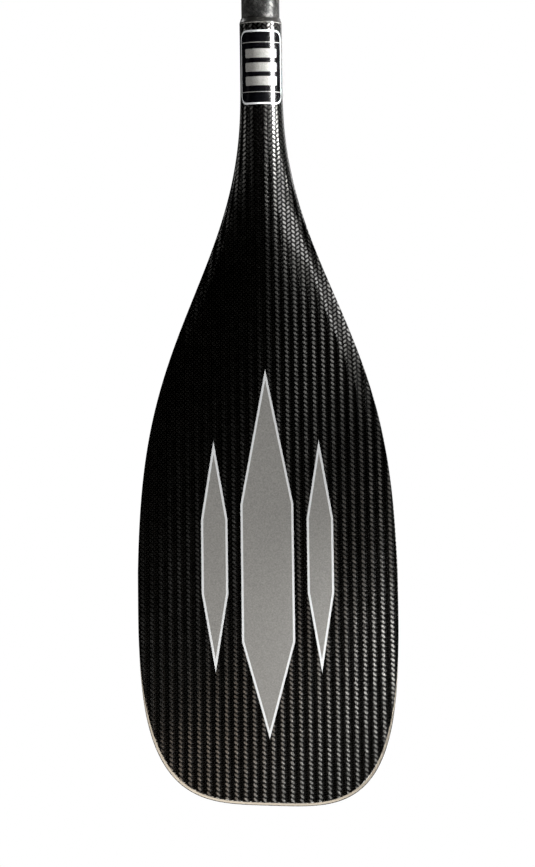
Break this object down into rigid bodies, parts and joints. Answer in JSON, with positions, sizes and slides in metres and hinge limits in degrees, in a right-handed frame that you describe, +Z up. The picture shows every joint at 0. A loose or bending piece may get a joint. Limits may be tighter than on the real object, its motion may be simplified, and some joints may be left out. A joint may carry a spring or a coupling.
{
  "type": "stand-up paddle",
  "caption": "Adjustable stand-up paddle: a canted blade on a round shaft that telescopes through a cam clamp to a palm grip.",
  "frame": {"origin": "on the shaft's axis, 0.35 m above the blade socket's rim, where a rack's clip holds the lower shaft", "axes": "+Z up along the shaft to the grip, blade at the bottom, the blade's front face (away from the paddler) towards -Y, +X to the right of that face"},
  "size_m": [0.177, 0.0937, 1.686],
  "materials": {
    "gloss_carbon_twill": "gloss",
    "core_foam": "matte",
    "edge_rail_abs": "satin",
    "satin_carbon_braid": "satin",
    "black_epoxy": "gloss",
    "grey_plug_plastic": "matte",
    "float_plug_foam": "matte",
    "clamp_nylon": "satin",
    "bush_acetal": "satin",
    "stainless_steel": "satin",
    "saddle_acetal": "satin",
    "lever_nylon": "satin",
    "satin_carbon_upper": "satin",
    "black_end_plug": "matte",
    "grip_carbon": "satin",
    "grip_foam": "matte",
    "grip_pad_rubber": "matte"
  },
  "bodies": {
    "lower_section": {"blade_front_skin": "gloss_carbon_twill", "blade_power_skin": "gloss_carbon_twill", "blade_foam_core": "core_foam", "blade_edge_rail": "edge_rail_abs", "rim_glue_bead": "black_epoxy", "lower_shaft": "satin_carbon_braid", "shaft_foot_plug": "grey_plug_plastic", "shaft_float_plug": "float_plug_foam", "clamp_collar": "clamp_nylon", "clamp_bush": "bush_acetal", "clamp_saddle": "saddle_acetal", "clamp_bolt": "stainless_steel", "clamp_washer": "stainless_steel", "clamp_barrel": "stainless_steel"},
    "lever": {"clamp_lever": "lever_nylon"},
    "upper_section": {"upper_shaft": "satin_carbon_upper", "upper_end_plug": "black_end_plug", "grip_stem_plug": "black_end_plug", "grip_front_shell": "grip_carbon", "grip_back_shell": "grip_carbon", "grip_foam_core": "grip_foam", "grip_palm_pad": "grip_pad_rubber"}
  },
  "joints": [
    {"name": "length_slide", "type": "slide", "parent": "lower_section", "child": "upper_section", "axis": [0, 0, 1], "range_m": [-0.06, 0.44]},
    {"name": "lever_hinge", "type": "hinge", "parent": "lower_section", "child": "lever", "pos_m": [0.0245, 0.0178, 0.627], "axis": [0, 0, -1], "range_deg": [0, 150]}
  ]
}
